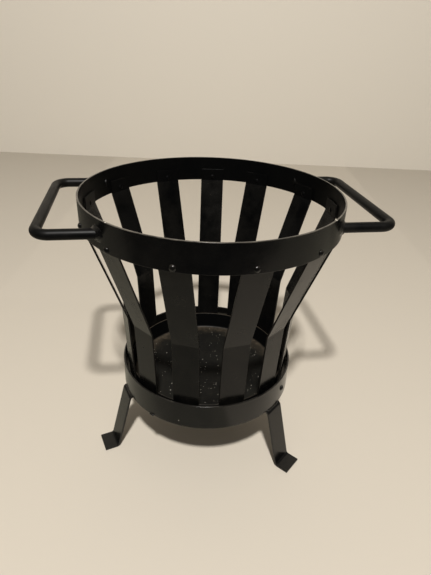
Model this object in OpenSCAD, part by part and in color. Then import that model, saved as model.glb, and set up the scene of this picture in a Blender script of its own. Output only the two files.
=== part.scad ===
// Slatted fire basket on three strip legs, with two rod handles and a lift-out ash pan.
// The slats run from a riveted top ring down to a waist, and from there to a base plate
// that is riveted inside the bottom ring. The ash pan lies loose on the base plate.
//
// Millimetres, +Z up. z = 0 is the floor and the Z axis is the basket's axis.
// The handles point along +X and -X, and the front is -Y.
// Angles round the basket are counted from the front, and grow towards +X.

/* [Overall] */
// Height from the floor to the top edge
total_h = 342.5; // [320:0.5:400]
// Outer diameter of the top ring
top_d = 300; // [280:1:340]
// Outer diameter of the bottom ring
base_d = 225; // [215:1:240]
// Height of the bottom ring's lower edge above the floor
base_z = 82; // [60:1:100]

/* [Rings] */
// Thickness of the strip that both rings are rolled from
ring_t = 2; // [1.5:0.1:3]
// Height of the top ring
top_ring_h = 32; // [28:1:44]
// Height of the bottom ring
base_ring_h = 35; // [31:1:45]

/* [Slats] */
// Width of a slat
slat_w = 31.5; // [22:0.5:33]
// Thickness of a slat
slat_t = 2; // [1.5:0.1:3]
// Height of the waist, where every slat bends
waist_z = 200; // [170:1:230]
// Distance across the waist, over the slats' outer faces
waist_d = 219; // [214:1:246]
// Height of the tab that laps inside the top ring
tab_h = 16; // [12:1:22]
// Gap between the slats' feet and the inside of the bottom ring
foot_gap = 7; // [6:0.1:9]
// Middle radius of each bend in a slat
slat_bend = 5; // [4:0.5:10]

/* [Handles] */
// Diameter of the handle rod
rod_d = 11; // [7:0.5:12]
// Distance between the middles of a handle's two arms
grip_w = 168; // [140:1:190]
// Clear space for the fingers, from the top ring to the grip
grip_gap = 28; // [24:0.5:40]
// Middle radius of a handle's corners
grip_bend = 15; // [10:1:22]
// How far the weld stands out round the rod
handle_weld = 2.5; // [2:0.5:4]

/* [Legs] */
// Width of a leg
leg_w = 28; // [22:1:30]
// Thickness of a leg
leg_t = 2.5; // [2:0.1:3]
// How far the leg splays out beyond the bottom ring, at its foot bend
leg_splay = 22; // [10:1:30]
// Length of the foot, outwards from its bend
foot_l = 18; // [12:1:22]
// Length of the tab under the base plate
leg_tab_l = 18; // [12:1:20]
// Middle radius of each bend in a leg
leg_bend = 4.5; // [3.5:0.5:6]

/* [Base plate and ash pan] */
// Thickness of the base plate
plate_t = 2.5; // [2:0.5:4]
// Radial width of the base plate
plate_w = 25; // [22:1:40]
// Width of the three lugs that stand up from the base plate
lug_w = 18; // [12:1:20]
// How far the lugs reach above their rivets
lug_up = 7.5; // [5:0.5:12]
// Height of the ash pan
pan_h = 26; // [15:1:35]
// Sheet thickness of the ash pan
pan_t = 1.5; // [1:0.1:2]
// Gap between the ash pan and the slats
pan_gap = 0.6; // [0.5:0.1:2]
// Middle radius of the ash pan's lower edge
pan_bend = 5; // [2:0.5:6]

/* [Rivets] */
// Diameter of a rivet's shank
rivet_d = 4; // [3:0.5:5]
// Diameter of a rivet's round head
head_d = 7.5; // [6.5:0.5:9]
// Height of a rivet's round head
head_h = 2.4; // [1.5:0.1:3]
// Height of the slat rivets above the top ring's lower edge
rivet_up = 5; // [4.5:0.5:8]

/* [Hidden] */
$fn = 180;

seat = 0.1;           // clearance where one strip lies against another
hole_gap = 0.15;      // clearance round a rivet's shank
clinch_edge = 1.2;    // how far a rivet's closed inner head spreads beyond its shank
clinch_h = 1;         // height of a rivet's closed inner head
foot_weld = 1.8;      // leg length of the fillets at the slats' feet
foot_weld_l = 18;     // length of the fillets at the slats' feet
leg_weld = 1.5;       // radius of the weld bead over each leg's knee
leg_weld_end = 1.5;   // how far that bead stops short of the leg's edges
steps = 6;            // straight pieces in each drawn bend

// Each slat was set by hand: the degrees by which it stands off an even spacing.
slat_count = 13;
first_slat = -50;
slat_drift = [-1.2, 0.8, 3.1, 4, 2, 1, -0.8, 2, -0.2, -2.3, 0.3, 0.5, 1.5];
// The legs and lugs were set by eye too, with the wider gap between legs at the back.
leg_angles = [-73.3, 42, 164.5];
lug_angles = [-118, 52, 159];

top_r = top_d / 2;
base_r = base_d / 2;
base_in = base_r - ring_t;
top_ring_z = total_h - top_ring_h;
plate_top = base_z + plate_t;
rivet_z = top_ring_z + rivet_up;
lug_rivet_z = base_z + base_ring_h / 2;

// Distance from the axis to the outer face of a flat strip that lies inside a round ring
function flat_in(ring_in, w) = sqrt(ring_in * ring_in - w * w / 4) - seat;

tab_out = flat_in(top_r - ring_t, slat_w);
waist_out = waist_d / 2;
foot_out = base_in - foot_gap;
lug_out = flat_in(base_in, lug_w);
pan_r = foot_out - slat_t - pan_gap;
pan_flare = pan_h * (waist_out - foot_out) / (waist_z - plate_top);
rod_z = total_h - top_ring_h / 2;
grip_r = top_r + grip_gap + rod_d / 2;

function slat_angle(i) = first_slat + 360 / slat_count * i + slat_drift[i];

function unit(v) = v / norm(v);
function left(v) = [-v[1], v[0]];
// How far a path turns at b on its way from a to c, in degrees: positive to the left
function turn(a, b, c) = let (u = unit(b - a), v = unit(c - b)) atan2(u[0] * v[1] - u[1] * v[0], u * v);
// The corner b of a path from a to c as an arc of middle radius r, moved k to the left
function corner(a, b, c, r, k) =
    let (
        angle = turn(a, b, c),
        side = sign(angle),
        start = b - unit(b - a) * r * tan(abs(angle) / 2),
        centre = start + left(unit(b - a)) * r * side,
        spoke = left(unit(b - a)) * -side * (r - side * k),
        first = atan2(spoke[1], spoke[0])
    )
    [for (i = [0:steps]) let (a = first + angle * i / steps) centre + norm(spoke) * [cos(a), sin(a)]];
// One face of a bent strip: the path p moved k to the left, with its corners rounded to r
function face(p, r, k) = let (n = len(p)) concat(
    [p[0] + left(unit(p[1] - p[0])) * k],
    [for (i = [1:n - 2]) each corner(p[i - 1], p[i], p[i + 1], r, k)],
    [p[n - 1] + left(unit(p[n - 1] - p[n - 2])) * k]);
function backwards(p) = [for (i = [len(p) - 1:-1:0]) p[i]];

// Outline of a bent strip of thickness t along the middle path p
module strip_outline(p, r, t) {
    polygon(concat(face(p, r, t / 2), backwards(face(p, r, -t / 2))));
}

// Stands a side view, with x as the distance from the axis and y as the height, w wide
module across(w) {
    rotate([90, 0, 0]) linear_extrude(height = w, center = true) children();
}

// Turns a piece that was drawn towards +X to an angle round the basket
module at(angle) {
    rotate([0, 0, angle - 90]) children();
}

module ring(outer, h) {
    difference() {
        cylinder(r = outer, h = h);
        translate([0, 0, -1]) cylinder(r = outer - ring_t, h = h + 2);
    }
}

// Hole out through whatever stands towards +X, from well clear of the axis
module rivet_hole(z) {
    translate([base_r / 2, 0, z]) rotate([0, 90, 0]) cylinder(d = rivet_d + 2 * hole_gap, h = top_r);
}

// Half of a round head's side view, on a base of diameter d
module cap(d, h) {
    ball = (d * d / 4 + h * h) / (2 * h);
    intersection() {
        translate([0, h - ball]) circle(r = ball);
        square([d / 2, h]);
    }
}

// Rivet with its round head on +X at x = outer, and its closed head at x = inner
module rivet(outer, inner, z) {
    translate([inner, 0, z]) rotate([0, 90, 0]) rotate_extrude() {
        square([rivet_d / 2, outer - inner]);
        translate([0, outer - inner]) cap(head_d, head_h);
        mirror([0, 1]) cap(rivet_d + 2 * clinch_edge, clinch_h);
    }
}

module top_ring() {
    color("#2a2a28") difference() {
        translate([0, 0, top_ring_z]) ring(top_r, top_ring_h);
        for (i = [0:slat_count - 1]) at(slat_angle(i)) rivet_hole(rivet_z);
    }
}

module bottom_ring() {
    color("#2c2c2a") difference() {
        translate([0, 0, base_z]) ring(base_r, base_ring_h);
        for (angle = lug_angles) at(angle) rivet_hole(lug_rivet_z);
    }
}

// Flat ring that carries the slats' feet and the ash pan, with lugs that are riveted to the bottom ring
module base_plate() {
    color("#242422") difference() {
        union() {
            translate([0, 0, base_z]) cylinder(r = base_in - seat, h = plate_t);
            for (angle = lug_angles) at(angle)
                translate([lug_out - plate_t, -lug_w / 2, base_z])
                    cube([plate_t, lug_w, lug_rivet_z + lug_up - base_z]);
        }
        translate([0, 0, base_z - 1]) cylinder(r = base_in - plate_w, h = plate_t + 2);
        for (angle = lug_angles) at(angle) rivet_hole(lug_rivet_z);
    }
}

module slat_body() {
    difference() {
        across(slat_w) intersection() {
            strip_outline([
                [tab_out - slat_t / 2, top_ring_z + tab_h],
                [tab_out - slat_t / 2, top_ring_z],
                [waist_out - slat_t / 2, waist_z],
                [foot_out - slat_t / 2, plate_top - slat_t]
            ], slat_bend, slat_t);
            translate([0, plate_top]) square([top_r, total_h]);
        }
        rivet_hole(rivet_z);
    }
}

module slat(i) {
    color("#262624") at(slat_angle(i)) slat_body();
}

module slat_rivets() {
    color("#343432") for (i = [0:slat_count - 1]) at(slat_angle(i)) rivet(top_r, tab_out - slat_t, rivet_z);
}

// Fillets on the base plate along the slats' outer faces
module slat_welds() {
    color("#30302e") for (i = [0:slat_count - 1]) at(slat_angle(i)) difference() {
        translate([foot_out, 0, plate_top]) intersection() {
            rotate([90, 0, 0]) cylinder(r = foot_weld, h = foot_weld_l, center = true);
            translate([0, -foot_weld_l, 0]) cube([foot_weld, 2 * foot_weld_l, foot_weld]);
        }
        slat_body();
    }
}

module plate_rivets() {
    color("#343432") for (angle = lug_angles) at(angle) rivet(base_r, lug_out - plate_t, lug_rivet_z);
}

// Distance from the axis to the point where a handle's arm meets the top ring
function arm_root() = sqrt(top_r * top_r - grip_w * grip_w / 4);

// Handle towards +X: the grip, two round corners, and arms that are coped to the top ring
module handle() {
    arm_l = grip_r - grip_bend - arm_root() + rod_d;
    half_grip = grip_w / 2 - grip_bend;
    difference() {
        translate([grip_r - grip_bend, 0, rod_z]) for (side = [-1, 1]) {
            translate([-arm_l, side * grip_w / 2, 0]) rotate([0, 90, 0]) cylinder(d = rod_d, h = arm_l);
            translate([grip_bend, 0, 0]) rotate([-side * 90, 0, 0]) cylinder(d = rod_d, h = half_grip);
            translate([0, side * half_grip, 0]) rotate([0, 0, side * 45 - 45])
                rotate_extrude(angle = 90) translate([grip_bend, 0]) circle(d = rod_d);
        }
        translate([0, 0, base_z]) cylinder(r = top_r + seat / 2, h = total_h);
    }
}

module handle_right() {
    color("#2b2b29") at(90) handle();
}

module handle_left() {
    color("#2b2b29") at(-90) handle();
}

// Weld round each arm where it meets the top ring: a ball with the rod's bore through it
module handle_welds() {
    ball = rod_d / 2 + handle_weld;
    color("#333330") for (angle = [-90, 90], side = [-1, 1]) at(angle) difference() {
        translate([arm_root(), side * grip_w / 2, rod_z]) rotate([0, 90, 0]) rotate_extrude() difference() {
            circle(r = ball);
            translate([-ball, -ball]) square([ball + rod_d / 2, 2 * ball]);
        }
        translate([0, 0, base_z]) cylinder(r = top_r, h = total_h);
    }
}

// Side view of a leg: a tab under the base plate, a knee under the bottom ring, and a turned-out foot
module leg_outline() {
    strip_outline([
        [base_r - leg_tab_l, base_z - leg_t / 2],
        [base_r + leg_t / 2, base_z - leg_t / 2],
        [base_r + leg_splay, leg_t / 2],
        [base_r + leg_splay + foot_l, leg_t / 2]
    ], leg_bend, leg_t);
}

module leg(i) {
    color("#2d2d2b") at(leg_angles[i]) across(leg_w) leg_outline();
}

// Bead over each leg's knee, along the bottom ring's lower edge
module leg_welds() {
    color("#333330") for (angle = leg_angles) at(angle) difference() {
        across(leg_w - 2 * leg_weld_end) difference() {
            translate([base_r, base_z]) circle(r = leg_weld);
            leg_outline();
        }
        translate([0, 0, base_z]) cylinder(r = base_r, h = base_ring_h);
    }
}

// Shallow round dish with its wall alongside the slats, loose on the base plate
module ash_pan() {
    wall = pan_r - pan_t / 2;
    color("#3a3732") rotate_extrude() strip_outline([
        [0, plate_top + pan_t / 2],
        [wall, plate_top + pan_t / 2],
        [wall + pan_flare, plate_top + pan_h]
    ], pan_bend, pan_t);
}

top_ring();
bottom_ring();
base_plate();
slat(0);  // slat_01
slat(1);  // slat_02
slat(2);  // slat_03
slat(3);  // slat_04
slat(4);  // slat_05
slat(5);  // slat_06
slat(6);  // slat_07
slat(7);  // slat_08
slat(8);  // slat_09
slat(9);  // slat_10
slat(10);  // slat_11
slat(11);  // slat_12
slat(12);  // slat_13
slat_rivets();
slat_welds();
plate_rivets();
handle_left();
handle_right();
handle_welds();
leg(0);  // leg_left
leg(1);  // leg_right
leg(2);  // leg_rear
leg_welds();
ash_pan();
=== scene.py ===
# %% [markdown]
# # A slatted fire basket in black heat paint
# The basket is steel strip: thirteen bent slats between two rolled rings, on three strip legs, with
# two rod handles and a loose ash pan. The frame brings every piece at its true size and place. This
# script gives each piece its rolled edges, its bends, its welds and its paint, and then a plain
# floor, a lamp and a camera. Lengths are in metres, with mm written as a factor.

# %% Load the frame
import math

import bmesh
import bpy
from mathutils import Euler, Matrix, Vector, noise


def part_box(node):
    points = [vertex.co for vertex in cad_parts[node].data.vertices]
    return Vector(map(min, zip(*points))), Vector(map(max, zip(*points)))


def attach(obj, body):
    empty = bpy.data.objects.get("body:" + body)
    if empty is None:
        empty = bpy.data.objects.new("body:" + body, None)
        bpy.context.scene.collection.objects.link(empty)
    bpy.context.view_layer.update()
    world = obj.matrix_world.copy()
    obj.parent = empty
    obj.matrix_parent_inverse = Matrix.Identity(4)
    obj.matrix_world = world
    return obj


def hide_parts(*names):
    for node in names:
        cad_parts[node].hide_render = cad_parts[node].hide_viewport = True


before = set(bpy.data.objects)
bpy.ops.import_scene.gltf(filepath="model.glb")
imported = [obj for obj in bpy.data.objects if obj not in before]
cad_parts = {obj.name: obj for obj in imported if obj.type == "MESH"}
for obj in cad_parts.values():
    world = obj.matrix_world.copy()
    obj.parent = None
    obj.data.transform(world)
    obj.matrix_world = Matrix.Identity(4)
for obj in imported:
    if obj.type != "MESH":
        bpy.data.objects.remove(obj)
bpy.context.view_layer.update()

mm = 0.001


def new_object(name, data):
    made = bpy.data.objects.new(name, data)
    bpy.context.scene.collection.objects.link(made)
    return made


# %% [markdown]
# ## The camera
# The basket is seen from in front and above, a little from its left, with the camera rolled slightly.
# A camera is easiest to read as a stand: how far out and how high it is, how far it is turned round
# the basket, and how it is tipped.

# %% Set up the camera
camera_turn = math.radians(-10)
camera_out = 511.4 * mm
camera_aside = 8.2 * mm
camera_up = 502.1 * mm
camera_tilt = math.radians(29.37)
camera_roll = math.radians(2.5)

camera_data = bpy.data.cameras.new("camera")
camera_data.lens = 28.8
camera_data.sensor_width = 36
camera = new_object("camera", camera_data)
stand = Matrix.Rotation(camera_turn, 4, "Z")
tip = Euler((math.pi / 2 - camera_tilt, 0, 0)).to_matrix().to_4x4()
camera.matrix_world = (
    stand
    @ Matrix.Translation((camera_aside, -camera_out, camera_up))
    @ tip
    @ Matrix.Rotation(camera_roll, 4, "Z")
)
bpy.context.scene.camera = camera
print("the camera stands", round(camera.matrix_world.translation.length, 3), "m from the origin")

# %% [markdown]
# ## Sizes that several pieces share
# These repeat the part's own sizes, so that each dressed piece lies just where its plain one did. The
# rings' heights are asked of the frame instead, and printed, so a changed part shows at once.

# %% Name the shared sizes
ring_thick = 2 * mm
top_ring_r = 150 * mm
top_ring_low, top_ring_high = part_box("top_ring")[0].z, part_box("top_ring")[1].z
low_ring_r = 112.5 * mm
low_ring_low, low_ring_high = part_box("bottom_ring")[0].z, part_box("bottom_ring")[1].z
plate_top = 84.5 * mm


def flat_inside(ring_r, width, gap=0.1 * mm):
    return math.sqrt((ring_r - ring_thick) ** 2 - (width / 2) ** 2) - gap


slat_wide, slat_thick, slat_bend = 31.5 * mm, 2 * mm, 5 * mm
tab_out = flat_inside(top_ring_r, slat_wide)
tab_high = 16 * mm
waist_out, waist_up = 109.5 * mm, 200 * mm
foot_out = 103.5 * mm
print("top ring", round(top_ring_low, 4), "to", round(top_ring_high, 4), "and tabs at", round(tab_out, 4))

# %% [markdown]
# ## A path with rounded bends
# Strip and rod are bent cold over a former, so every corner of their side view is an arc. This helper
# takes the sharp corners and the bend's middle radius, and gives the points of the real line. Slats,
# legs, handles and the pan's wall all come from it.

# %% Round the corners of a path
def bent_path(corners, radius, steps=8):
    points = [Vector(corners[0])]
    for before, corner, after in zip(corners, corners[1:], corners[2:]):
        before, corner, after = Vector(before), Vector(corner), Vector(after)
        away, onward = (before - corner).normalized(), (after - corner).normalized()
        half = (math.pi - away.angle(onward)) / 2
        reach = radius * math.tan(half)
        centre = corner + (away + onward).normalized() * radius / math.cos(half)
        start, end = corner + away * reach - centre, corner + onward * reach - centre
        for i in range(steps + 1):
            t = i / steps
            swing = start * math.sin((1 - t) * 2 * half) + end * math.sin(t * 2 * half)
            points.append(centre + swing / math.sin(2 * half))
    return points + [Vector(corners[-1])]


def path_object(name, points, closed=False):
    curve = bpy.data.curves.new(name, "CURVE")
    curve.dimensions = "3D"
    spline = curve.splines.new("POLY")
    spline.points.add(len(points) - 1)
    for spot, point in zip(spline.points, points):
        spot.co = (*point, 1)
    spline.use_cyclic_u = closed
    return new_object(name, curve)


test_bend = bent_path([(0, 0, 0), (0.1, 0, 0), (0.1, 0, 0.1)], 5 * mm)
test_length = sum((after - before).length for before, after in zip(test_bend, test_bend[1:]))
print("a square bend of 5 mm keeps", round(test_length, 4), "m of 0.2 m")

# %% [markdown]
# ## Helpers for node trees
# A Geometry Nodes tree is a recipe with its sizes as named inputs. Each step of it is a node, and the
# nodes are joined by links. These helpers add a node and its links in one line. Where a node has several
# sockets of one name, only the one in use is enabled, and live() finds it.

# %% Write small helpers for node trees
def add(tree, kind, inputs=None, **settings):
    node = tree.nodes.new(kind)
    for key, value in settings.items():
        setattr(node, key, value)
    for name, value in (inputs or {}).items():
        if isinstance(value, bpy.types.NodeSocket):
            tree.links.new(value, node.inputs[name])
        else:
            node.inputs[name].default_value = value
    return node


def live(sockets):
    return {socket.name: socket for socket in sockets if socket.enabled}


def maths(tree, operation, a, b=0.0):
    return add(tree, "ShaderNodeMath", {0: a, 1: b}, operation=operation).outputs[0]


def plus(tree, a, b):
    return maths(tree, "ADD", a, b)


def minus(tree, a, b):
    return maths(tree, "SUBTRACT", a, b)


def times(tree, a, b):
    return maths(tree, "MULTIPLY", a, b)


def scaled(tree, vector, share):
    return add(tree, "ShaderNodeVectorMath", {0: vector, "Scale": share}, operation="SCALE").outputs["Vector"]


def random_vector(tree, low, high, seed):
    values = {"Seed": seed, "Min": low, "Max": high}
    node = add(tree, "FunctionNodeRandomValue", values, data_type="FLOAT_VECTOR")
    return live(node.outputs)["Value"]


print("node helpers ready")

# %% [markdown]
# ## How a tree starts and ends
# Every tree here starts with its named inputs. Most of them set copies round the basket: a helper mesh
# holds one point for each place, with its turn as an attribute. At the end the copies are made real,
# because instances are lost on export, and the whole gets its finish.

# %% Write the start, the copies and the end of a tree
def new_tree(name, inputs):
    tree = bpy.data.node_groups.new(name, "GeometryNodeTree")
    for label, kind in inputs.items():
        tree.interface.new_socket(label, in_out="INPUT", socket_type="NodeSocket" + kind)
    tree.interface.new_socket("Geometry", in_out="OUTPUT", socket_type="NodeSocketGeometry")
    return tree, add(tree, "NodeGroupInput").outputs


def set_copies(tree, places, shape):
    spots = add(tree, "GeometryNodeObjectInfo", {"Object": places})
    turn = add(tree, "GeometryNodeInputNamedAttribute", {"Name": "turn"}, data_type="FLOAT")
    upright = add(tree, "ShaderNodeCombineXYZ", {"Z": turn.outputs["Attribute"]})
    rotation = add(tree, "FunctionNodeEulerToRotation", {"Euler": upright.outputs[0]})
    copies = add(tree, "GeometryNodeInstanceOnPoints", {
        "Points": spots.outputs["Geometry"], "Instance": shape, "Rotation": rotation.outputs[0],
    })
    return copies.outputs["Instances"]


def made_real(tree, copies):
    return add(tree, "GeometryNodeRealizeInstances", {"Geometry": copies}).outputs["Geometry"]


def close_tree(tree, geometry, finish):
    painted = add(tree, "GeometryNodeSetMaterial", {"Geometry": geometry, "Material": finish})
    result = add(tree, "NodeGroupOutput")
    tree.links.new(painted.outputs["Geometry"], result.inputs["Geometry"])
    print("the tree", tree.name, "has", len(tree.nodes), "nodes")


print("tree helpers ready")

# %% [markdown]
# ## One bar tree for everything that is bent from strip or rod
# This tree sweeps a section along a path and sets a copy at each place round the basket. On each point
# it stores how far that point lies from the bar's long edge, on which side, and how far along the bar.
# The paint uses these to wear thin at the edges and to paint a highlight there. The same recipe gives
# slats, legs, both rings and, with a round section, the rod handles.

# %% Build the bar tree
def store(tree, geometry, name, value):
    values = {"Geometry": geometry, "Name": name}
    node = add(tree, "GeometryNodeStoreNamedAttribute", values, data_type="FLOAT")
    tree.links.new(value, node.inputs["Value"])
    return node.outputs["Geometry"]


bar_tree, given = new_tree("bent_bar", {
    "Path": "Geometry", "Places": "Object", "Width": "Float", "Thickness": "Float",
    "Round": "Bool", "Across": "Vector", "Finish": "Material",
})
half_width = times(bar_tree, given["Width"], 0.5)
flat_section = add(bar_tree, "GeometryNodeCurvePrimitiveQuadrilateral", {
    "Width": given["Width"], "Height": given["Thickness"],
})
flat_section = add(bar_tree, "GeometryNodeSubdivideCurve", {"Curve": flat_section.outputs[0], "Cuts": 1})
round_section = add(bar_tree, "GeometryNodeCurvePrimitiveCircle", {"Resolution": 32, "Radius": half_width})
section = add(bar_tree, "GeometryNodeSwitch", {
    "Switch": given["Round"], "False": flat_section.outputs["Curve"], "True": round_section.outputs["Curve"],
}, input_type="GEOMETRY").outputs[0]

place = add(bar_tree, "GeometryNodeInputPosition").outputs[0]
across = add(bar_tree, "ShaderNodeSeparateXYZ", {0: place}).outputs["X"]
edge_gap = minus(bar_tree, half_width, maths(bar_tree, "ABSOLUTE", across))
section = store(bar_tree, section, "edge_gap", edge_gap)
section = store(bar_tree, section, "across", across)
path = store(bar_tree, given["Path"], "along", add(bar_tree, "GeometryNodeSplineParameter").outputs["Length"])
path = add(bar_tree, "GeometryNodeSetCurveNormal", {"Curve": path, "Normal": given["Across"]}, mode="FREE")
bar = add(bar_tree, "GeometryNodeCurveToMesh", {
    "Curve": path.outputs["Curve"], "Profile Curve": section, "Fill Caps": True,
})
smooth = add(bar_tree, "GeometryNodeSetShadeSmooth", {"Geometry": bar.outputs[0], "Shade Smooth": True})
bars = made_real(bar_tree, set_copies(bar_tree, given["Places"], smooth.outputs["Geometry"]))
close_tree(bar_tree, bars, given["Finish"])

# %% [markdown]
# ## Places round the basket
# The helper mesh that carries the places has no faces, only points. A piece is modelled where it
# belongs, so its point lies at the origin and carries only its turn. It may also move out and up a hair.

# %% Write the helper for places
def places_object(name, turns, outs=None, ups=None):
    outs, ups = outs or [0.0] * len(turns), ups or [0.0] * len(turns)
    mesh = bpy.data.meshes.new(name)
    spots = [(out * math.cos(turn), out * math.sin(turn), up) for turn, out, up in zip(turns, outs, ups)]
    mesh.from_pydata(spots, [], [])
    mesh.attributes.new("turn", "FLOAT", "POINT").data.foreach_set("value", turns)
    return new_object(name, mesh)


print("place helper ready")

# %% [markdown]
# ## Baking a tree's result
# The tree is only a recipe until its result is turned into a plain mesh. The inputs are set by their
# sockets' identifiers, the evaluated result is copied into a new object, and the helpers that carried
# the recipe go away.

# %% Bake a tree into a piece
def bake(name, carrier, tree, values, helpers=()):
    modifier = carrier.modifiers.new("recipe", "NODES")
    modifier.node_group = tree
    for item in tree.interface.items_tree:
        if item.in_out == "INPUT" and item.name in values:
            modifier[item.identifier] = values[item.name]
    graph = bpy.context.evaluated_depsgraph_get()
    graph.update()
    mesh = bpy.data.meshes.new_from_object(carrier.evaluated_get(graph))
    mesh.name = name
    piece = new_object(name, mesh)
    carrier.modifiers.remove(modifier)
    for helper in (carrier, *helpers):
        bpy.data.objects.remove(helper)
    return piece


def bent_bars(name, path, turns, width, thickness, across, finish, is_round=False, closed=False):
    spots = places_object(name + "_places", turns)
    return bake(name, path_object(name + "_path", path, closed), bar_tree, {
        "Places": spots, "Width": width, "Thickness": thickness, "Round": is_round, "Across": across,
        "Finish": finish,
    }, [spots])


print("bake helpers ready")

# %% [markdown]
# ## Finishing a piece
# A saw or a shear leaves an edge that the paint rounds off, so strip gets a hair of bevel. Some faces of
# a piece have a finish of their own, such as the sooty side that faces the fire. They are found by where
# they lie and which way they face, and get a second material.

# %% Write the helpers for edges and painted parts
def ease_edges(piece, width):
    bevel = piece.modifiers.new("eased edges", "BEVEL")
    bevel.width = width
    bevel.segments = 2
    bevel.limit_method = "ANGLE"
    bevel.angle_limit = math.radians(50)
    bevel.harden_normals = True


def paint_part(piece, paint, wanted):
    mesh = piece.data
    mesh.materials.append(paint)
    for face in mesh.polygons:
        if wanted(face.center, face.normal):
            face.material_index = len(mesh.materials) - 1


def faces_axis(centre, normal):
    return normal.x * centre.x + normal.y * centre.y < -0.5 * math.hypot(centre.x, centre.y)


print("finishing helpers ready")

# %% [markdown]
# ## Black heat paint
# The paint is a thin satin black, so dark that most of what the eye sees on it is a soft mirror image
# of the floor. It is hardly flat, though: the strip under it is hot rolled, so the coat is mottled, a
# little browner from spot to spot, and its gloss changes with the mottling. Along sheared edges it has
# worn thin and pale, and that pale line is partly a painted highlight for the light that edges catch. A
# painted picture would have to be wrapped round every strip. Noise on each piece's own coordinates needs
# no wrapping, and at three scales it gives blotches, streaks and specks.

# %% Write helpers for materials
def shader(name, base, rough, specular):
    material = bpy.data.materials.new(name)
    material.use_nodes = True
    tree = material.node_tree
    principled = tree.nodes["Principled BSDF"]
    principled.inputs["Base Color"].default_value = (*base, 1)
    principled.inputs["Roughness"].default_value = rough
    principled.inputs["Specular IOR Level"].default_value = specular
    return material, tree, principled


def own_place(tree):
    return add(tree, "ShaderNodeTexCoord").outputs["Object"]


def grain(tree, scale, detail=4, rough=0.6, stretch=(1, 1, 1)):
    place = add(tree, "ShaderNodeMapping", {"Vector": own_place(tree), "Scale": stretch}).outputs[0]
    return add(tree, "ShaderNodeTexNoise", {
        "Vector": place, "Scale": scale, "Detail": detail, "Roughness": rough,
    }).outputs["Fac"]


print("shader and noise helpers ready")

# %% [markdown]
# ## From noise to a finish
# Noise gives a number between 0 and 1 at each point. span() stretches a part of that range into the one
# that is wanted, mix() blends two colours by it, and relief() turns it into bumps. attribute() reads what
# the bar tree stored, and facing_up() is 1 where a face looks straight up.

# %% Write helpers that shape the noise
def span(tree, value, low, high, to_low=0.0, to_high=1.0):
    node = add(tree, "ShaderNodeMapRange", {
        "Value": value, "From Min": low, "From Max": high, "To Min": to_low, "To Max": to_high,
    })
    return node.outputs["Result"]


def mix(tree, share, a, b):
    node = add(tree, "ShaderNodeMix", data_type="RGBA")
    sockets = live(node.inputs)
    for name, value in (("Factor", share), ("A", a), ("B", b)):
        if isinstance(value, bpy.types.NodeSocket):
            tree.links.new(value, sockets[name])
        else:
            sockets[name].default_value = value if name == "Factor" else (*value, 1)
    return live(node.outputs)["Result"]


def attribute(tree, name):
    return add(tree, "ShaderNodeAttribute", attribute_name=name, attribute_type="GEOMETRY").outputs["Fac"]


def facing_up(tree):
    normal = add(tree, "ShaderNodeNewGeometry").outputs["Normal"]
    return add(tree, "ShaderNodeSeparateXYZ", {0: normal}).outputs["Z"]


def relief(tree, principled, height, depth, strength=1.0, under=None):
    bump = add(tree, "ShaderNodeBump", {"Height": height, "Strength": strength, "Distance": depth})
    if under:
        tree.links.new(under, bump.inputs["Normal"])
    tree.links.new(bump.outputs["Normal"], principled.inputs["Normal"])
    return bump.outputs["Normal"]


print("material helpers ready")

# %% [markdown]
# ## Dust, bare edges with a painted highlight, and small marks
# Three things lie on the plain coat. Dust settles on faces that look up. Sheared edges wear through to
# dull steel in a ragged line, but not where a strip laps on another, and their pale colour is partly a
# painted highlight for the light that the edges catch. A few marks sit at places of their own, each a
# soft spot round a point on the object.

# %% Write what lies on the paint
def dust_film(tree, color, blotches, dust):
    lying = span(tree, facing_up(tree), 0.4, 1.0, 0, dust)
    film = times(tree, lying, span(tree, blotches, 0.3, 0.7, 0.4, 1.0))
    return mix(tree, film, color, (0.075, 0.066, 0.052))


# Painted highlight: the pale edge colour stands partly for bare steel and partly for the light that eased
# edges catch.
def worn_edges_and_highlight(tree, color, top_wear_and_highlight, edge_wear_and_highlight, lap):
    ragged = times(tree, grain(tree, 150, 3), 1.3 * mm)
    ragged_edge_gap = minus(tree, attribute(tree, "edge_gap"), ragged)
    wear_and_highlight = span(tree, attribute(tree, "across"), 0.0, 1 * mm, edge_wear_and_highlight, top_wear_and_highlight)
    share = times(tree, span(tree, ragged_edge_gap, -0.6 * mm, 0.1 * mm, 1, 0), wear_and_highlight)
    share = times(tree, share, span(tree, grain(tree, 34, 4, 0.7), 0.4, 0.6, 0.35, 1.0))
    if lap:
        lapped = span(tree, attribute(tree, "along"), lap - 3 * mm, lap)
        share = times(tree, share, minus(tree, 1.0, lapped))
    return mix(tree, share, color, (0.15, 0.135, 0.112))


def spot_mark(tree, color, centre, size, tone):
    away = add(tree, "ShaderNodeVectorMath", {0: own_place(tree), 1: centre}, operation="DISTANCE")
    edge = plus(tree, away.outputs["Value"], times(tree, grain(tree, 900, 2), 1.2 * mm))
    return mix(tree, span(tree, edge, size, size + 0.5 * mm, 1.0, 0.0), color, tone)


print("dust, edges and marks ready")

# %% [markdown]
# ## One recipe for all the black pieces
# The pieces share one recipe and differ in its amounts. Shine is how strongly the coat mirrors, and is
# one plain number on the shader's own socket. Rough is how blurred the mirror image is. It is a range,
# and follows the blotches.

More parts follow.
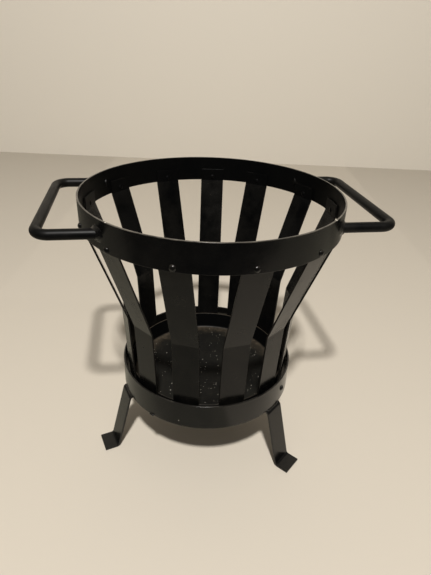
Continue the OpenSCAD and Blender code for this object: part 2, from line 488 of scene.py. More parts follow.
# %% Write the black paint
def black_paint(name, top_wear_and_highlight=0.0, edge_wear_and_highlight=0.0, dust=0.0, shine=0.33, mottle=1.0, rough=(0.16, 0.26),
                lap=0.0, marks=()):
    deep, pale, speck = (0.0018, 0.0019, 0.002), (0.0056, 0.0053, 0.0046), (0.02, 0.018, 0.015)
    material, tree, principled = shader(name, deep, 0.2, shine)
    blotches = grain(tree, 42, 5, 0.65)
    streaks = grain(tree, 30, 3, 0.6, (1, 1, 0.25))
    fine = grain(tree, 520, 3, 0.6)
    color = mix(tree, span(tree, plus(tree, blotches, streaks), 0.8, 1.2, 0, mottle), deep, pale)
    color = mix(tree, span(tree, fine, 0.62, 0.8, 0, 0.35 * mottle), color, speck)
    if dust:
        color = dust_film(tree, color, blotches, dust)
    if edge_wear_and_highlight or top_wear_and_highlight:
        color = worn_edges_and_highlight(tree, color, top_wear_and_highlight, edge_wear_and_highlight, lap)
    for mark in marks:
        color = spot_mark(tree, color, *mark)
    tree.links.new(color, principled.inputs["Base Color"])
    tree.links.new(span(tree, blotches, 0.3, 0.7, *rough), principled.inputs["Roughness"])
    soft = relief(tree, principled, blotches, 0.25 * mm, 0.5)
    relief(tree, principled, fine, 0.05 * mm, 0.5, soft)
    return material


print("the black paint's recipe is ready")

# %% [markdown]
# ## The paint of each piece
# The top ring's upper edge is worn most, by hands and fire tools, and its pale line is partly a painted
# highlight. Two pale spots are painted on it. The bottom ring has a scratch and a dark stain. The slats
# have their own gloss, the handles are dull from use, and whatever faces the fire is sooty and matt.

# %% Mix the paints
def round_spot(out, angle, up):
    return (out * math.cos(math.radians(angle)), out * math.sin(math.radians(angle)), up)


# The first tone paints two pale spots on the rim's upper edge, beside the handles' front arms.
pale_spot_tone, scratched, stain = (0.62, 0.58, 0.5), (0.3, 0.28, 0.24), (0.0005, 0.0005, 0.0005)
rim_middle = top_ring_r - 0.8 * mm
rim_pale_spots = [(round_spot(rim_middle, angle, top_ring_high), 1.2 * mm, pale_spot_tone) for angle in (-140, -43.5)]
ring_marks = [
    (round_spot(low_ring_r, -115, low_ring_low + 8 * mm), 0.9 * mm, scratched),
    (round_spot(low_ring_r, -76.5, low_ring_high - 11 * mm), 1.6 * mm, stain),
]
# The pale rim line that these amounts give is partly bare steel and partly a painted highlight.
top_ring_paint = black_paint("top_ring_paint", 0.75, 0.08, mottle=0.4, rough=(0.18, 0.28), marks=rim_pale_spots)
low_ring_paint = black_paint("bottom_ring_paint", 0.12, 0.04, shine=0.38, marks=ring_marks)
slat_paint = black_paint("slat_paint", 0.05, 0.05, shine=0.22, rough=(0.14, 0.3), lap=231 * mm)
leg_paint = black_paint("leg_paint", 0.06, 0.06, shine=0.36)
rod_paint = black_paint("rod_paint", shine=0.14, rough=(0.38, 0.48))
rivet_paint = black_paint("rivet_paint", dust=0.35)
weld_paint = black_paint("weld_paint", dust=0.2, shine=0.45, rough=(0.2, 0.34))
soot_paint = black_paint("soot_paint", shine=0.08, mottle=0.15, rough=(0.3, 0.4))
print("mixed", [material.name for material in bpy.data.materials])

# %% [markdown]
# ## Slats
# Each slat is a sheared strip with three bends: it stands on the base plate, leans in to the waist,
# flares out to the top ring and turns up against its inside. They were set by hand, so their places are
# read from the frame, and no two gaps are alike. They could be modelled one by one, but one side view
# that is swept and set at thirteen places keeps them alike, as the maker's bending jig does.

# %% Bend the slats and set them round the basket
def turn_of(node):
    low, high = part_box(node)
    return math.atan2((low.y + high.y) / 2, (low.x + high.x) / 2)


slat_names = [f"slat_{i + 1:02d}" for i in range(13)]
slat_turns = [turn_of(name) for name in slat_names]
foot_lean = (waist_out - foot_out) / (waist_up - (plate_top - slat_thick))
slat_side_view = bent_path([
    (foot_out - slat_thick / 2 + foot_lean * slat_thick, 0, plate_top),
    (waist_out - slat_thick / 2, 0, waist_up),
    (tab_out - slat_thick / 2, 0, top_ring_low),
    (tab_out - slat_thick / 2, 0, top_ring_low + tab_high),
], slat_bend)
slats = bent_bars("slats", slat_side_view, slat_turns, slat_wide, slat_thick, (0.0, 1.0, 0.0), slat_paint)
paint_part(slats, soot_paint, lambda centre, normal: centre.z > top_ring_low and faces_axis(centre, normal))
ease_edges(slats, 0.35 * mm)
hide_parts(*slat_names)
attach(slats, "basket")
slat_gaps = [(b - a) % (2 * math.pi) for a, b in zip(slat_turns, slat_turns[1:])]
print(len(slat_turns), "slats, spaced", [round(math.degrees(gap), 1) for gap in slat_gaps])

# %% [markdown]
# ## Rings
# Both rings are strip on edge, rolled round and welded end to end. A turned wall would have the same
# shape, but it wouldn't know how far each point lies from the edge, which the wear and its painted
# highlight need. So the path is a circle at the strip's middle, and the bar tree sweeps the section along
# it, with its width upright.

# %% Roll the two rings
def rolled_ring(name, outer, low, high, node, finish):
    middle = outer - ring_thick / 2
    turns = [2 * math.pi * i / 256 for i in range(256)]
    points = [(middle * math.sin(turn), -middle * math.cos(turn), (low + high) / 2) for turn in turns]
    ring = bent_bars(name, points, [0.0], high - low, ring_thick, (0.0, 0.0, 1.0), finish, closed=True)
    ease_edges(ring, 0.4 * mm)
    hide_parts(node)
    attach(ring, "basket")
    return ring


ring_high = rolled_ring("top_ring_rolled", top_ring_r, top_ring_low, top_ring_high, "top_ring",
                        top_ring_paint)
ring_low = rolled_ring("bottom_ring_rolled", low_ring_r, low_ring_low, low_ring_high, "bottom_ring",
                       low_ring_paint)
paint_part(ring_high, soot_paint, faces_axis)
print("rolled rings", [round(v, 4) for v in ring_high.dimensions], [round(v, 4) for v in ring_low.dimensions])

# %% [markdown]
# ## Legs
# A leg is one strip with two bends: a tab under the base plate, a splayed shin and a turned-out foot.
# It could be cut from a block, but a swept strip keeps one thickness through its bends, as steel does.

# %% Bend the legs
leg_wide, leg_thick, leg_bend = 28 * mm, 2.5 * mm, 4.5 * mm
leg_tab, leg_splay, leg_foot = 18 * mm, 22 * mm, 18 * mm
tab_z, foot_z = low_ring_low - leg_thick / 2, leg_thick / 2
leg_corners = [
    (low_ring_r - leg_tab, 0, tab_z),
    (low_ring_r + leg_thick / 2, 0, tab_z),
    (low_ring_r + leg_splay, 0, foot_z),
    (low_ring_r + leg_splay + leg_foot, 0, foot_z),
]
leg_names = ["leg_left", "leg_right", "leg_rear"]
leg_turns = [turn_of(name) for name in leg_names]
leg_side_view = bent_path(leg_corners, leg_bend)
legs = bent_bars("legs", leg_side_view, leg_turns, leg_wide, leg_thick, (0.0, 1.0, 0.0), leg_paint)
ease_edges(legs, 0.4 * mm)
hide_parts(*leg_names)
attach(legs, "basket")
print("legs at", [round(math.degrees(t), 1) for t in leg_turns])

# %% [markdown]
# ## Handles
# Each handle is a round rod bent into a U. Its arms run into the top ring's wall and are welded there.
# A curve with a bevel would give the same rod. The bar tree is used so that the bends come from the same
# helper as all the others, and so that both handles are one shape, turned half round.

# %% Bend the handles
rod_r = 5.5 * mm
grip_half, grip_gap, grip_bend = 84 * mm, 28 * mm, 15 * mm
grip_out = top_ring_r + grip_gap + rod_r
rod_up = (top_ring_low + top_ring_high) / 2
root_out = math.sqrt(top_ring_r ** 2 - grip_half ** 2) - 1 * mm
handle_corners = [
    (root_out, -grip_half, rod_up),
    (grip_out, -grip_half, rod_up),
    (grip_out, grip_half, rod_up),
    (root_out, grip_half, rod_up),
]
handle_path = bent_path(handle_corners, grip_bend, 16)
handles = bent_bars("handles", handle_path, [0.0, math.pi], 2 * rod_r, 2 * rod_r, (0.0, 0.0, 1.0), rod_paint,
                    is_round=True)
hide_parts("handle_left", "handle_right")
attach(handles, "basket")
print("handles reach", round(grip_out + rod_r, 4), "m from the axis")

# %% [markdown]
# ## Rivets
# A rivet is a turned shape: a shank with a made head outside and a small closed head inside. Its half
# outline is drawn once and spun round its own axis. The pan is spun by the same helper.

# %% Spin an outline
def spun(name, outline, steps, axis="Z"):
    mesh_data = bmesh.new()
    turns = [2 * math.pi * i / steps for i in range(steps)]
    rows = []
    for radius, along in outline:
        if radius < 1e-6:
            rows.append([mesh_data.verts.new((0, 0, along))] * steps)
        else:
            row = [(radius * math.cos(turn), radius * math.sin(turn), along) for turn in turns]
            rows.append([mesh_data.verts.new(point) for point in row])
    for low_row, high_row in zip(rows, rows[1:]):
        for i in range(steps):
            j = (i + 1) % steps
            corners = []
            for vert in (low_row[i], low_row[j], high_row[j], high_row[i]):
                if vert not in corners:
                    corners.append(vert)
            if len(corners) > 2:
                mesh_data.faces.new(corners).smooth = True
    if axis == "X":
        mesh_data.transform(Matrix.Rotation(math.pi / 2, 4, "Y"))
    bmesh.ops.recalc_face_normals(mesh_data, faces=mesh_data.faces)
    mesh = bpy.data.meshes.new(name)
    mesh_data.to_mesh(mesh)
    mesh_data.free()
    return new_object(name, mesh)


print("the spinning helper is ready")

# %% [markdown]
# ## A rivet's head
# A made head is a low cap cut from a ball. Its width and height fix the ball, and its outline is the arc
# from the crown to the rim.

# %% Draw a head's outline
def round_head(width, height, base, way, steps=8):
    ball = (width * width / 4 + height * height) / (2 * height)
    spread = math.asin(min(1, width / 2 / ball))
    lean = [spread * i / steps for i in range(steps + 1)]
    return [(ball * math.sin(a), base + way * (height - ball + ball * math.cos(a))) for a in lean]


print("a head of 7.5 mm has", len(round_head(7.5 * mm, 2.4 * mm, 0, 1)), "outline points")

# %% [markdown]
# ## Setting the rivets
# A short tree sets a copy of the rivet at each place and shifts each by a hair, because no hand drills
# thirteen holes in a perfect ring.

# %% Build the rivet tree
rivet_tree, given = new_tree("set_rivets", {
    "Rivet": "Geometry", "Places": "Object", "Drift": "Float", "Seed": "Int", "Finish": "Material",
})
stray = random_vector(rivet_tree, (0, -1, -1), (0, 1, 1), given["Seed"])
shifted = add(rivet_tree, "GeometryNodeTranslateInstances", {
    "Instances": set_copies(rivet_tree, given["Places"], given["Rivet"]),
    "Translation": scaled(rivet_tree, stray, given["Drift"]),
    "Local Space": True,
})
close_tree(rivet_tree, made_real(rivet_tree, shifted.outputs["Instances"]), given["Finish"])

# %% [markdown]
# ## One rivet
# The outline runs from the head's crown round its rim, down the shank and round the small tail. It is
# spun once for the top ring and once for the bottom ring, where the rivets clamp more steel.

# %% Turn a rivet
head_wide, head_high, head_root_r = 7.5 * mm, 2.4 * mm, 3.6 * mm
tail_wide, tail_high, tail_root_r = 6.4 * mm, 1 * mm, 3.1 * mm
shank_r, rivet_seat, sooty_depth = 2 * mm, 0.4 * mm, 5.6 * mm


def rivet(name, outer, inner, up):
    head_seat, tail_seat = outer - rivet_seat, inner + rivet_seat
    outline = round_head(head_wide, head_high, outer, 1)
    outline += [(head_root_r, head_seat), (shank_r, head_seat)]
    outline += [(shank_r, tail_seat), (tail_root_r, tail_seat)]
    outline += round_head(tail_wide, tail_high, inner, -1)[::-1]
    piece = spun(name, outline, 28, "X")
    piece.data.transform(Matrix.Translation((0, 0, up)))
    return piece


band_rivet_up = 5 * mm
slat_rivet = rivet("slat_rivet", top_ring_r, tab_out - slat_thick, top_ring_low + band_rivet_up)
lug_wide, plate_thick = 18 * mm, 2.5 * mm
lug_inside = flat_inside(low_ring_r, lug_wide) - plate_thick
lug_rivet = rivet("lug_rivet", low_ring_r, lug_inside, (low_ring_low + low_ring_high) / 2)
print("a rivet has", len(slat_rivet.data.polygons), "faces")

# %% [markdown]
# ## The rivets' places
# One rivet holds each slat to the top ring, and three hold the base plate's lugs in the bottom ring.
# Three holes missed the slat's middle by more than a hair. Each is named here with how far it lies
# aside in degrees, out and up. The tail inside the basket is sooty, as all there is.

# %% Set the rivets
def set_rivets(name, one, turns, node, seed, outs=None, ups=None):
    spots = places_object(name + "_places", turns, outs, ups)
    values = {"Places": spots, "Drift": 0.3 * mm, "Seed": seed, "Finish": rivet_paint}
    piece = bake(name, one, rivet_tree, values, [spots])
    reach = max(vert.co.to_2d().length for vert in piece.data.vertices)
    paint_part(piece, soot_paint, lambda centre, normal: centre.to_2d().length < reach - sooty_depth)
    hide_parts(node)
    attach(piece, "basket")
    return piece


missed = {0: (0.5, 0, -1.5 * mm), 1: (-0.3, 0, -0.7 * mm), 2: (-1.0, -0.4 * mm, -0.6 * mm)}
aside, outs, ups = zip(*(missed.get(i, (0, 0, 0)) for i in range(len(slat_turns))))
rivet_turns = [turn + math.radians(angle) for turn, angle in zip(slat_turns, aside)]
set_rivets("band_rivets", slat_rivet, rivet_turns, "slat_rivets", 4, outs, ups)
lug_turns = [math.radians(angle) for angle in (-208, -38, 69)]
set_rivets("lug_rivets", lug_rivet, lug_turns, "plate_rivets", 5)
print("rivets:", len(slat_turns), "in the top ring and", len(lug_turns), "in the bottom ring")

# %% [markdown]
# ## Weld beads
# A bead is laid by hand, so it is never an even rod: it swells and thins, and its ends are round. The
# bead tree sweeps a small circle whose size follows a rounded taper along the path, thins its middle
# by a named share, and roughens the skin with noise. A plain tube would look like a bent wire.

# %% Build the bead tree
bead_tree, given = new_tree("weld_bead", {
    "Path": "Geometry", "Places": "Object", "Radius": "Float", "Thinning": "Float", "Ripple": "Float",
    "Finish": "Material",
})
fine_path = add(bead_tree, "GeometryNodeResampleCurve", {"Curve": given["Path"], "Count": 48})
share = add(bead_tree, "GeometryNodeSplineParameter").outputs["Factor"]
from_middle = maths(bead_tree, "ABSOLUTE", minus(bead_tree, times(bead_tree, share, 2.0), 1.0))
rounding = minus(bead_tree, 1.0, maths(bead_tree, "POWER", from_middle, 8.0))
rounding = maths(bead_tree, "POWER", maths(bead_tree, "MAXIMUM", rounding, 0.0), 0.5)
middle = minus(bead_tree, 1.0, maths(bead_tree, "POWER", from_middle, 2.0))
thinned = minus(bead_tree, 1.0, times(bead_tree, middle, given["Thinning"]))
bead_section = add(bead_tree, "GeometryNodeCurvePrimitiveCircle", {"Resolution": 12, "Radius": 1.0})
bead = add(bead_tree, "GeometryNodeCurveToMesh", {
    "Curve": fine_path.outputs["Curve"], "Profile Curve": bead_section.outputs["Curve"], "Fill Caps": True,
    "Scale": times(bead_tree, times(bead_tree, rounding, thinned), given["Radius"]),
})
smooth = add(bead_tree, "GeometryNodeSetShadeSmooth", {"Geometry": bead.outputs[0], "Shade Smooth": True})
beads = made_real(bead_tree, set_copies(bead_tree, given["Places"], smooth.outputs["Geometry"]))
place = add(bead_tree, "GeometryNodeInputPosition").outputs[0]
place = add(bead_tree, "ShaderNodeVectorMath", {0: place, 1: (0.37, 0.37, 0.37)}, operation="ADD").outputs[0]
lumps = add(bead_tree, "ShaderNodeTexNoise", {"Vector": place, "Scale": 420.0, "Detail": 2.0})
lumps = lumps.outputs["Color"]
push = add(bead_tree, "ShaderNodeVectorMath", {0: lumps, 1: (0.5, 0.5, 0.5)}, operation="SUBTRACT").outputs[0]
push = scaled(bead_tree, push, given["Ripple"])
lumpy = add(bead_tree, "GeometryNodeSetPosition", {"Geometry": beads, "Offset": push})
close_tree(bead_tree, lumpy.outputs["Geometry"], given["Finish"])

# %% [markdown]
# ## Where the beads lie
# A straight bead holds each slat's foot to the base plate, and a curved one holds each leg to the bottom
# ring. One short tack sits on that ring's lower edge.

# %% Lay the beads
def lay_bead(name, path, turns, node, radius, thinning, ripple):
    spots = places_object(name + "_places", turns)
    piece = bake(name, path_object(name + "_path", path), bead_tree, {
        "Places": spots, "Radius": radius, "Thinning": thinning, "Ripple": ripple, "Finish": weld_paint,
    }, [spots])
    if node:
        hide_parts(node)
    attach(piece, "basket")
    return piece


def ring_arc(proud, middle, half_length, up, steps):
    radius, half_angle = low_ring_r + proud, half_length / low_ring_r
    turns = [middle + half_angle * i / steps for i in range(-steps, steps + 1)]
    return [(radius * math.cos(turn), radius * math.sin(turn), up) for turn in turns]


foot_path = [(foot_out + 0.2 * mm, y * mm, plate_top + 0.2 * mm) for y in (-9, 0, 9)]
foot_beads = lay_bead("foot_beads", foot_path, slat_turns, "slat_welds", 1.5 * mm, 0.1, 0.5 * mm)
knee_path = ring_arc(0.2 * mm, 0.0, 12.4 * mm, low_ring_low - 0.1 * mm, 6)
knee_beads = lay_bead("knee_beads", knee_path, leg_turns, "leg_welds", 1.5 * mm, 0.35, 0.7 * mm)
tack_path = ring_arc(0.3 * mm, math.radians(-134.5), 3.2 * mm, low_ring_low + 0.8 * mm, 4)
lay_bead("tack_bead", tack_path, [0.0], None, 1.7 * mm, 0.2, 0.9 * mm)
print("beads", len(foot_beads.data.polygons), "and", len(knee_beads.data.polygons), "faces")

# %% [markdown]
# ## Fillets at the handles
# Each arm meets the ring at a slant, and the weld fills the corner all the way round with a hollow
# fillet. A bevel on a joined mesh would be even, and a hand weld is not. So a bent section between the
# rod and the curved ring is worked out at every angle round the rod, with a little noise in its reach.
# Its toes sink into the steel by a hair, so that no gap shows.

# %% Work out one section of a fillet
weld_toe = 0.25 * mm


def fillet_points(side, arm_y, phi, seed, fullness):
    spread, lift = math.cos(phi), math.sin(phi)
    wave = noise.noise(Vector((2.2 * spread, 2.2 * lift, seed)))
    ring_reach = (3.6 + 1.3 * wave) * mm
    rod_reach = (4.2 + 2.4 * fullness - 1.5 * wave) * mm

    def on_ring(radius, sink):
        y = arm_y + radius * spread
        return Vector((math.sqrt(top_ring_r ** 2 - y * y) - sink, y, rod_up + radius * lift))

    corner = on_ring(rod_r, 0)
    start = corner + Vector((rod_reach, -weld_toe * spread, -weld_toe * lift))
    end = on_ring(rod_r + ring_reach, weld_toe)
    pull = corner + ((start + end) / 2 - corner) * (0.15 + 1.35 * fullness)
    points = []
    for i in range(11):
        t = i / 10
        point = start * (1 - t) ** 2 + pull * 2 * t * (1 - t) + end * t * t
        lump = noise.noise(point * 700 + Vector((seed, 0, 0))) * math.sin(math.pi * t)
        points.append(point + (point - corner).normalized() * lump * (0.35 + 0.5 * fullness) * mm)
    points.append(on_ring(rod_r - 1 * mm, 0.8 * mm))
    return [(side * p.x, side * p.y, p.z) for p in points]


test_section = fillet_points(1, grip_half, 0.0, 0.0, 0.5)
print("a fillet's section has", len(test_section), "points")

# %% [markdown]
# ## Four runs of weld
# The sections round one arm are joined into a closed ring. No two runs are equally full: one of the
# four is a thick lump, and the others are thin.

# %% Fill the corners round the handle arms
fillet_steps = 56
fillet_fullness = {(-1, False): 1.0, (-1, True): 0.3, (1, False): 0.1, (1, True): 0.4}
fillet_mesh = bmesh.new()
for side in (-1, 1):
    for arm_y in (-grip_half, grip_half):
        seed, fullness = 7.3 * side + 31 * arm_y, fillet_fullness[side, arm_y > 0]
        turns = [2 * math.pi * i / fillet_steps for i in range(fillet_steps)]
        rings = [fillet_points(side, arm_y, turn, seed, fullness) for turn in turns]
        rows = [[fillet_mesh.verts.new(point) for point in ring] for ring in rings]
        for row, following in zip(rows, rows[1:] + rows[:1]):
            for i in range(len(row)):
                j = (i + 1) % len(row)
                fillet_mesh.faces.new((row[i], row[j], following[j], following[i])).smooth = True
bmesh.ops.recalc_face_normals(fillet_mesh, faces=fillet_mesh.faces)
fillet_data = bpy.data.meshes.new("handle_fillets")
fillet_mesh.to_mesh(fillet_data)
fillet_mesh.free()
fillet_data.materials.append(weld_paint)
handle_fillets = new_object("handle_fillets", fillet_data)
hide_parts("handle_welds")
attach(handle_fillets, "basket")
print("handle fillets", len(handle_fillets.data.polygons), "faces")

# %% [markdown]
# ## Ash pan
# The pan is a shallow spun dish that lies loose on the base plate. It could be a disc with a thickened
# wall, but spinning an outline is how such a dish is formed. The outline is the sheet's own side view,
# a floor and a flared wall with a bend between them, given its thickness and a rounded rim.

# %% Spin the pan
pan_thick, pan_high, pan_clearance = 1.5 * mm, 26 * mm, 0.6 * mm
pan_wall = foot_out - slat_thick - pan_clearance - pan_thick / 2
pan_flare = pan_high * (waist_out - foot_out) / (waist_up - plate_top)
pan_middle = bent_path([
    (0, 0, plate_top + pan_thick / 2),
    (pan_wall, 0, plate_top + pan_thick / 2),
    (pan_wall + pan_flare, 0, plate_top + pan_high),
], 5 * mm)


def offset_line(points, away):
    line = []
    for i, point in enumerate(points):
        ahead = (points[min(i + 1, len(points) - 1)] - points[max(i - 1, 0)]).normalized()
        line.append((point.x - ahead.z * away, point.z + ahead.x * away))
    return line


top_face = offset_line(pan_middle, pan_thick / 2)
under_face = offset_line(pan_middle, -pan_thick / 2)
floor_steps = [(top_face[1][0] * i / 12, top_face[0][1]) for i in range(12)]
rim_x, rim_z = pan_middle[-1].x, pan_middle[-1].z - pan_thick / 2
rim = [
    (rim_x + pan_thick / 2 * math.cos(a), rim_z + pan_thick / 2 * math.sin(a))
    for a in (math.pi * i / 6 for i in range(5, 0, -1))
]
outline = floor_steps + top_face[1:-1] + [(top_face[-1][0], rim_z)] + rim
outline += [(under_face[-1][0], rim_z)] + under_face[1:-1][::-1] + [(0, under_face[0][1])]
pan = spun("dust_pan_spun", outline, 160)
print("pan", [round(v, 4) for v in pan.dimensions], "m")

# %% [markdown]
# ## The pan's dusty paint
# The pan's floor is dull and clouded. Dust has drifted into the corner all round, thicker at the back,
# and white specks of ash lie on the floor. All of it lies on faces that look up, so the wall stays clean
# and nearly black.

# %% Give the pan its paint
def pan_paint():
    deep, pale, grit = (0.002, 0.002, 0.0019), (0.0095, 0.0092, 0.0075), (0.02, 0.018, 0.013)
    dusty, white = (0.07, 0.055, 0.038), (0.4, 0.37, 0.31)
    material, tree, principled = shader("pan_paint", deep, 0.55, 0.16)
    clouds, fine = grain(tree, 28, 5, 0.65), grain(tree, 380, 3, 0.6)
    lying = span(tree, facing_up(tree), 0.5, 0.95)
    color = mix(tree, times(tree, span(tree, clouds, 0.35, 0.65), lying), deep, pale)
    color = mix(tree, times(tree, span(tree, fine, 0.5, 0.8, 0, 0.5), lying), color, grit)
    place = own_place(tree)
    flat = add(tree, "ShaderNodeVectorMath", {0: place, 1: (1, 1, 0)}, operation="MULTIPLY").outputs["Vector"]
    out = add(tree, "ShaderNodeVectorMath", {0: flat}, operation="LENGTH").outputs["Value"]
    drift = plus(tree, out, times(tree, grain(tree, 60, 4, 0.7), 34 * mm))
    depth = add(tree, "ShaderNodeSeparateXYZ", {0: place}).outputs["Y"]
    behind = span(tree, depth, -60 * mm, 60 * mm, 0.35, 1.0)
    gritty = span(tree, grain(tree, 260, 4, 0.8), 0.35, 0.65, 0.25, 1.0)
    bank = times(tree, span(tree, drift, 98 * mm, 116 * mm), times(tree, behind, gritty))
    color = mix(tree, times(tree, bank, lying), color, dusty)
    specks = {"Vector": place, "Scale": 210.0, "Randomness": 1.0}
    specks = add(tree, "ShaderNodeTexVoronoi", specks, feature="F1").outputs["Distance"]
    dots = span(tree, specks, 0.05, 0.1, 1.0, 0.0)
    dots = times(tree, dots, span(tree, grain(tree, 120, 3), 0.52, 0.56))
    color = mix(tree, times(tree, dots, lying), color, white)
    tree.links.new(color, principled.inputs["Base Color"])
    tree.links.new(span(tree, clouds, 0.3, 0.7, 0.45, 0.65), principled.inputs["Roughness"])
    relief(tree, principled, fine, 0.12 * mm, 0.6)
    return material


pan.data.materials.append(pan_paint())
pan_wall_paint = black_paint("pan_wall_paint", shine=0.05, mottle=0.1, rough=(0.5, 0.6))
paint_part(pan, pan_wall_paint, lambda centre, normal: abs(normal.z) < 0.6)
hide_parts("ash_pan")
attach(pan, "ash_pan")
print("the pan rides on the ash_pan body")

# %% [markdown]
# ## Crumbs of ash
# After a fire a few pale crumbs stay in the pan. A tree scatters points over a disc at the pan's floor
# and sets a tiny uneven lump at each, squashed and turned at random from a fixed seed. A lump needs no
# more than twenty faces.

# %% Build the crumb tree
crumb_tree, given = new_tree("ash_crumbs", {
    "Disc": "Geometry", "Density": "Float", "Smallest": "Float", "Largest": "Float", "Seed": "Int",
    "Finish": "Material",
})
spread = add(crumb_tree, "GeometryNodeDistributePointsOnFaces", {
    "Mesh": given["Disc"], "Density": given["Density"], "Seed": given["Seed"],
})
lump = add(crumb_tree, "GeometryNodeMeshIcoSphere", {"Radius": 1.0, "Subdivisions": 1})
size = add(crumb_tree, "FunctionNodeRandomValue", {"Seed": given["Seed"]}, data_type="FLOAT")
crumb_tree.links.new(given["Smallest"], live(size.inputs)["Min"])
crumb_tree.links.new(given["Largest"], live(size.inputs)["Max"])
squash = random_vector(crumb_tree, (0.6, 0.6, 0.35), (1.5, 1.1, 0.8), 12)
lean = random_vector(crumb_tree, (0, 0, 0), (0.5, 0.5, 6.28), 21)
rotation = add(crumb_tree, "FunctionNodeEulerToRotation", {"Euler": lean})
copies = add(crumb_tree, "GeometryNodeInstanceOnPoints", {
    "Points": spread.outputs["Points"], "Instance": lump.outputs["Mesh"], "Rotation": rotation.outputs[0],
    "Scale": scaled(crumb_tree, squash, live(size.outputs)["Value"]),
})
close_tree(crumb_tree, made_real(crumb_tree, copies.outputs["Instances"]), given["Finish"])

# %% [markdown]
# ## Ash in the pan
# The crumbs run from grey to nearly white. They lie on a disc a little smaller than the pan's floor, and
# they ride with the pan.

# %% Scatter the crumbs
ash_paint, ash_nodes, ash_principled = shader("pale_ash", (0.2, 0.18, 0.145), 0.9, 0.1)
ash_clouds = span(ash_nodes, grain(ash_nodes, 700, 2), 0.35, 0.65)
ash_tone = mix(ash_nodes, ash_clouds, (0.2, 0.18, 0.14), (0.8, 0.77, 0.68))
ash_nodes.links.new(ash_tone, ash_principled.inputs["Base Color"])

disc_r, disc_steps = 95 * mm, 48
disc_turns = [2 * math.pi * i / disc_steps for i in range(disc_steps)]
disc_rim = [(disc_r * math.cos(turn), disc_r * math.sin(turn), plate_top + pan_thick) for turn in disc_turns]
disc = bpy.data.meshes.new("crumb_disc")
disc.from_pydata(disc_rim, [], [tuple(range(disc_steps))])
disc_carrier = new_object("crumb_disc", disc)
crumbs = bake("ash_crumbs", disc_carrier, crumb_tree, {
    "Density": 7000.0, "Smallest": 0.25 * mm, "Largest": 0.65 * mm, "Seed": 5, "Finish": ash_paint,
})
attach(crumbs, "ash_pan")
print("crumbs:", len(crumbs.data.polygons) // 20)

# %% [markdown]
# ## The base plate
# The flat ring that carries everything keeps its own shape from the frame. It gets the same paint, with
# more dust, because it lies flat under the slats' feet.

# %% Paint the base plate
base_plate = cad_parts["base_plate"]
base_plate.data.materials.clear()
base_plate.data.materials.append(black_paint("plate_paint", dust=0.5))
print("painted", base_plate.name)

# %% [markdown]
# ## Floor and backdrop
# Satin black shows mostly what it mirrors, so the room matters as much as the lamp. A pale floor
# carries the basket, and a pale wall stands behind it. Both turn with the camera's stand.

# %% Lay the floor and stand the wall
def stage_sheet(name, corners, color):
    mesh = bpy.data.meshes.new(name)
    mesh.from_pydata(corners, [], [tuple(range(len(corners)))])
    mesh.transform(stand)
    mesh.materials.append(shader(name, color, 0.6, 0.3)[0])
    sheet = new_object(name, mesh)
    return sheet


def level_sheet(name, left, front, right, back, up, color):
    corners = [(left, front, up), (right, front, up), (right, back, up), (left, back, up)]
    return stage_sheet(name, corners, color)


def upright_sheet(name, half, back, high, color):
    corners = [(-half, back, 0), (half, back, 0), (half, back, high), (-half, back, high)]
    return stage_sheet(name, corners, color)


floor = level_sheet("floor", -4, -4, 4, 1.5, 0, (0.61, 0.558, 0.475))
wall = upright_sheet("wall", 4, 1.5, 3, (0.8, 0.75, 0.66))
print("stage", floor.name, wall.name)

# %% [markdown]
# ## Flags: painted shade for the paint to mirror
# A real room is dim outside the lamp's reach, and the paint mirrors that. Flags are sheets that only a
# mirror image sees: the camera doesn't, and they cast no shadow and pass no light on. They lie round the
# basket, nearly black in front and dim at the sides. They are painted shade: their tones stand in for
# floor in shadow and for the unlit room, so the paint mirrors a darker floor than the camera sees.

# %% Set the flags
def painted_shade_tone(tone):
    return (tone, 0.95 * tone, 0.77 * tone)


unlit, flag_up = 0.005, 1 * mm
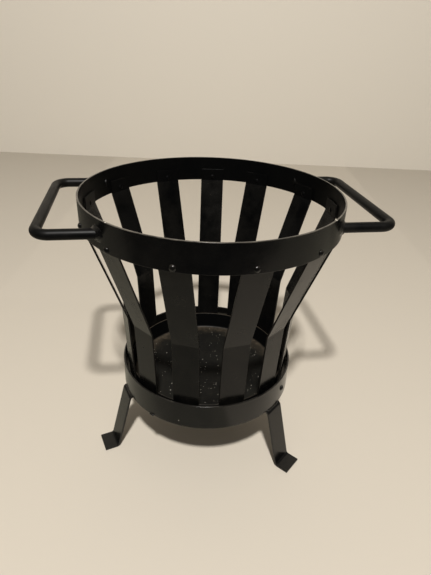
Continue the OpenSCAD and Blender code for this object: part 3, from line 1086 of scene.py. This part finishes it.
# Painted shade: each sheet's tone stands for a patch of shadowed floor or dim room.
flags = [
    level_sheet("near_flag", -0.35, -0.5, 0.08, -0.13, 2 * flag_up, painted_shade_tone(0.28)),
    level_sheet("side_flag", -0.45, -0.45, -0.13, 0.3, flag_up, painted_shade_tone(0.38)),
    level_sheet("front_flag", -0.5, -1.6, 0.3, -0.45, 3 * flag_up, painted_shade_tone(unlit)),
    level_sheet("front_left_flag", -3, -1.6, -0.5, -0.35, flag_up, painted_shade_tone(unlit)),
    level_sheet("front_right_flag", 0.3, -1.6, 3, -0.55, flag_up, painted_shade_tone(0.01)),
    level_sheet("left_flag", -3, -0.35, -0.45, 0.15, flag_up, painted_shade_tone(0.24)),
    level_sheet("back_left_flag", -3, 0.15, -0.45, 1.5, flag_up, painted_shade_tone(0.14)),
    level_sheet("right_flag", 0.55, -0.55, 3, 0.3, flag_up, painted_shade_tone(0.38)),
    level_sheet("back_right_flag", 0.55, 0.3, 3, 1.5, flag_up, painted_shade_tone(0.2)),
    upright_sheet("upright_flag", 3, -1.2, 1.8, (unlit, unlit, unlit)),
]
for flag in flags:
    flag.visible_camera = False
    flag.visible_shadow = False
    flag.visible_diffuse = False
print("flags", [flag.name for flag in flags])

# %% [markdown]
# ## Lamp and room light
# One round lamp hangs in front of the basket, high up, and the world adds a little light from all round.
# The world looks lighter to the camera than it is to the basket, which keeps the backdrop pale.

# %% Hang the lamp and dim the room
world = bpy.data.worlds.new("world")
bpy.context.scene.world = world
world.use_nodes = True
background = world.node_tree.nodes["Background"]
background.inputs["Color"].default_value = (1, 0.93, 0.84, 1)
dim_light, seen_light = 0.15, 0.38
seen = add(world.node_tree, "ShaderNodeLightPath").outputs["Is Camera Ray"]
strength = span(world.node_tree, seen, 0, 1, dim_light, seen_light)
world.node_tree.links.new(strength, background.inputs["Strength"])

lamp_data = bpy.data.lights.new("lamp", "AREA")
lamp_data.shape = "DISK"
lamp_data.size = 0.18
lamp_data.energy = 88
lamp_data.color = (1, 0.97, 0.93)
lamp = new_object("lamp", lamp_data)
lamp_tip = Euler((math.radians(30), 0, 0)).to_matrix().to_4x4()
lamp.matrix_world = stand @ Matrix.Translation((0, -1.44, 2.5)) @ lamp_tip
bpy.context.scene.view_settings.view_transform = "Standard"
print("the lamp hangs", round(lamp.matrix_world.translation.length, 2), "m away")
